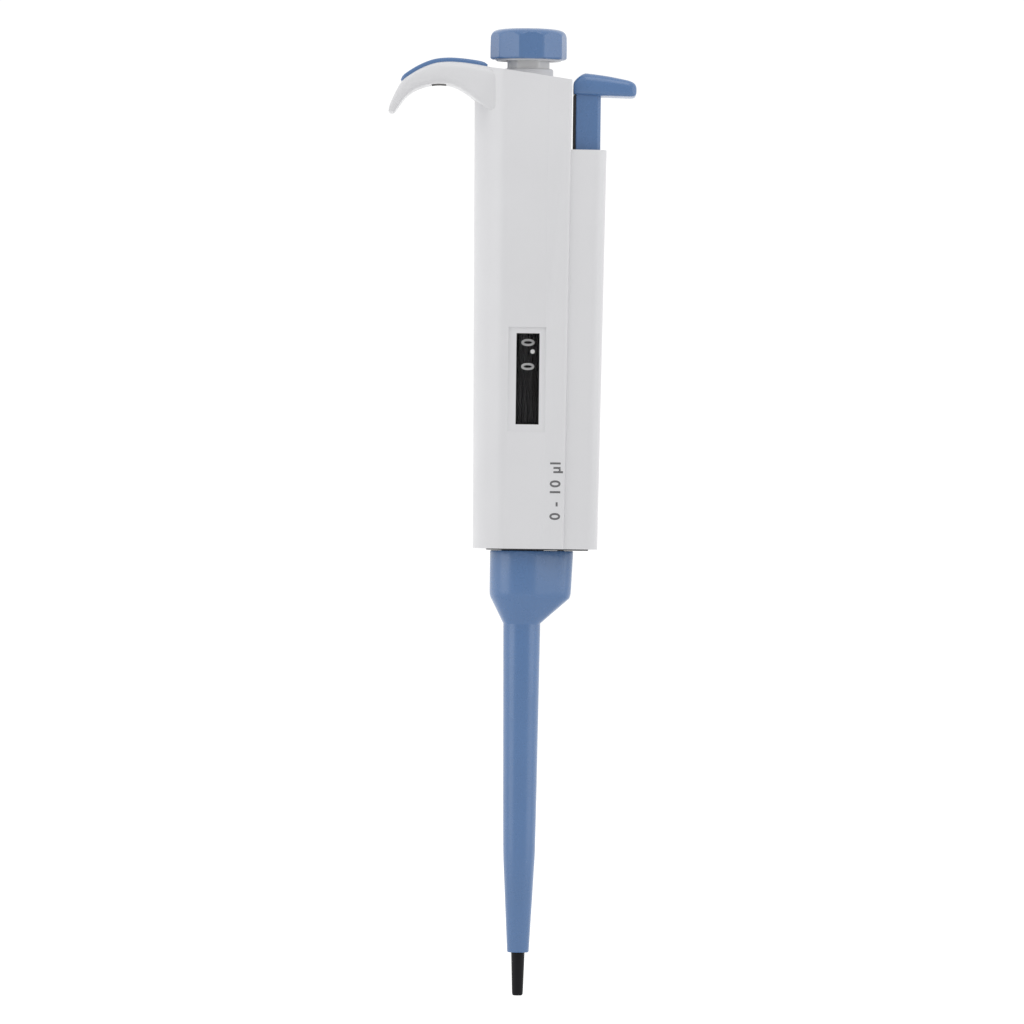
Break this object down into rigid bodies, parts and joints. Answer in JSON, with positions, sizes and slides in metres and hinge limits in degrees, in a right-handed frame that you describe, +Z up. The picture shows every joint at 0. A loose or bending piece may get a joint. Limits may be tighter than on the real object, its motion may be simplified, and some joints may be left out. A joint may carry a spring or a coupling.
{
  "type": "adjustable micropipette",
  "caption": "Hand-held air-displacement pipette: thumb plunger that also sets the volume, windowed counter, finger hook, sprung tip ejector and slender tip cone",
  "frame": {"origin": "on the plunger's axis at the nozzle's end face", "axes": "+Z up the plunger's axis to the knob, -X towards the finger hook, -Y out of the volume window"},
  "size_m": [0.0613, 0.024, 0.2396],
  "materials": {
    "white": "satin moulded",
    "blue": "satin moulded",
    "black": "fine matte",
    "grey": "satin moulded",
    "seal": "waxy",
    "steel": "ground",
    "brass": "turned",
    "rubber": "moulded",
    "clear": "polished clear plastic"
  },
  "bodies": {
    "handle": {"handle_body": "white", "window_lens": "clear", "finger_hook": "white", "hook_pad": "blue", "rear_cover": "white", "base_plug": "black", "top_bush": "white", "nut_carrier": "black", "spindle_nut": "brass", "friction_washer": "steel", "counter_frame": "black", "counter_spacer": "black", "pinion_shaft": "steel", "blowout_spring": "steel", "blowout_cap": "brass", "nozzle": "black", "cone_nut": "grey", "piston_seal": "seal", "seal_ring": "rubber", "seal_retainer": "steel", "piston_spring": "steel", "ejector_spring": "steel", "spring_seat": "black"},
    "drive": {"drive_sleeve": "grey", "tenths_wheel": "black"},
    "ones_carry": {"ones_pinion": "seal"},
    "ones_counter": {"ones_wheel": "black"},
    "tens_carry": {"tens_pinion": "seal"},
    "tens_counter": {"tens_wheel": "black"},
    "spindle": {"volume_spindle": "brass"},
    "plunger": {"knob_stem": "grey", "plunger_knob": "blue", "knob_insert": "white", "operating_rod": "steel", "rod_collar": "steel", "piston_head": "steel", "piston": "steel"},
    "blowout_stop": {"blowout_washer": "steel"},
    "ejector": {"ejector_button": "blue", "ejector_slide": "black", "ejector_rod": "steel", "ejector_sleeve": "blue"}
  },
  "joints": [
    {"name": "knob_turn", "type": "hinge", "parent": "handle", "child": "drive", "pos_m": [0, 0, 0.155], "axis": [0, 0, 1], "range_deg": [0, 3600]},
    {"name": "screw_travel", "type": "slide", "parent": "drive", "child": "spindle", "axis": [0, 0, 1], "range_m": [0, 0.01273]},
    {"name": "plunger_press", "type": "slide", "parent": "spindle", "child": "plunger", "axis": [0, 0, -1], "range_m": [0, 0.0016], "stiffness_N_per_m": 1500, "springref_m": -0.001, "deforming": ["piston_spring"]},
    {"name": "blowout_travel", "type": "slide", "parent": "handle", "child": "blowout_stop", "axis": [0, 0, -1], "range_m": [0, 0.0016], "deforming": ["blowout_spring"]},
    {"name": "ones_wheel_turn", "type": "hinge", "parent": "handle", "child": "ones_counter", "pos_m": [0, 0, 0.1557], "axis": [0, 0, 1], "range_deg": [0, 360]},
    {"name": "ones_pinion_turn", "type": "hinge", "parent": "handle", "child": "ones_carry", "pos_m": [-0.00636, 0.00636, 0.153], "axis": [0, 0, 1], "range_deg": [-1440, 0]},
    {"name": "tens_wheel_turn", "type": "hinge", "parent": "handle", "child": "tens_counter", "pos_m": [0, 0, 0.1498], "axis": [0, 0, 1], "range_deg": [0, 36]},
    {"name": "tens_pinion_turn", "type": "hinge", "parent": "handle", "child": "tens_carry", "pos_m": [-0.00636, 0.00636, 0.153], "axis": [0, 0, 1], "range_deg": [-144, 0]},
    {"name": "tip_eject", "type": "slide", "parent": "handle", "child": "ejector", "axis": [0, 0, -1], "range_m": [0, 0.009], "stiffness_N_per_m": 400, "springref_m": -0.004, "deforming": ["ejector_spring"]}
  ],
  "couplings": [
    {"joint": "screw_travel", "follows": "knob_turn", "m_per_rad": 0.0002026},
    {"joint": "blowout_travel", "follows": "plunger_press", "ratio": 1},
    {"joint": "ones_wheel_turn", "follows": "knob_turn", "ratio": 0.1},
    {"joint": "ones_pinion_turn", "follows": "knob_turn", "ratio": -0.4},
    {"joint": "tens_wheel_turn", "follows": "knob_turn", "ratio": 0.01},
    {"joint": "tens_pinion_turn", "follows": "knob_turn", "ratio": -0.04}
  ]
}
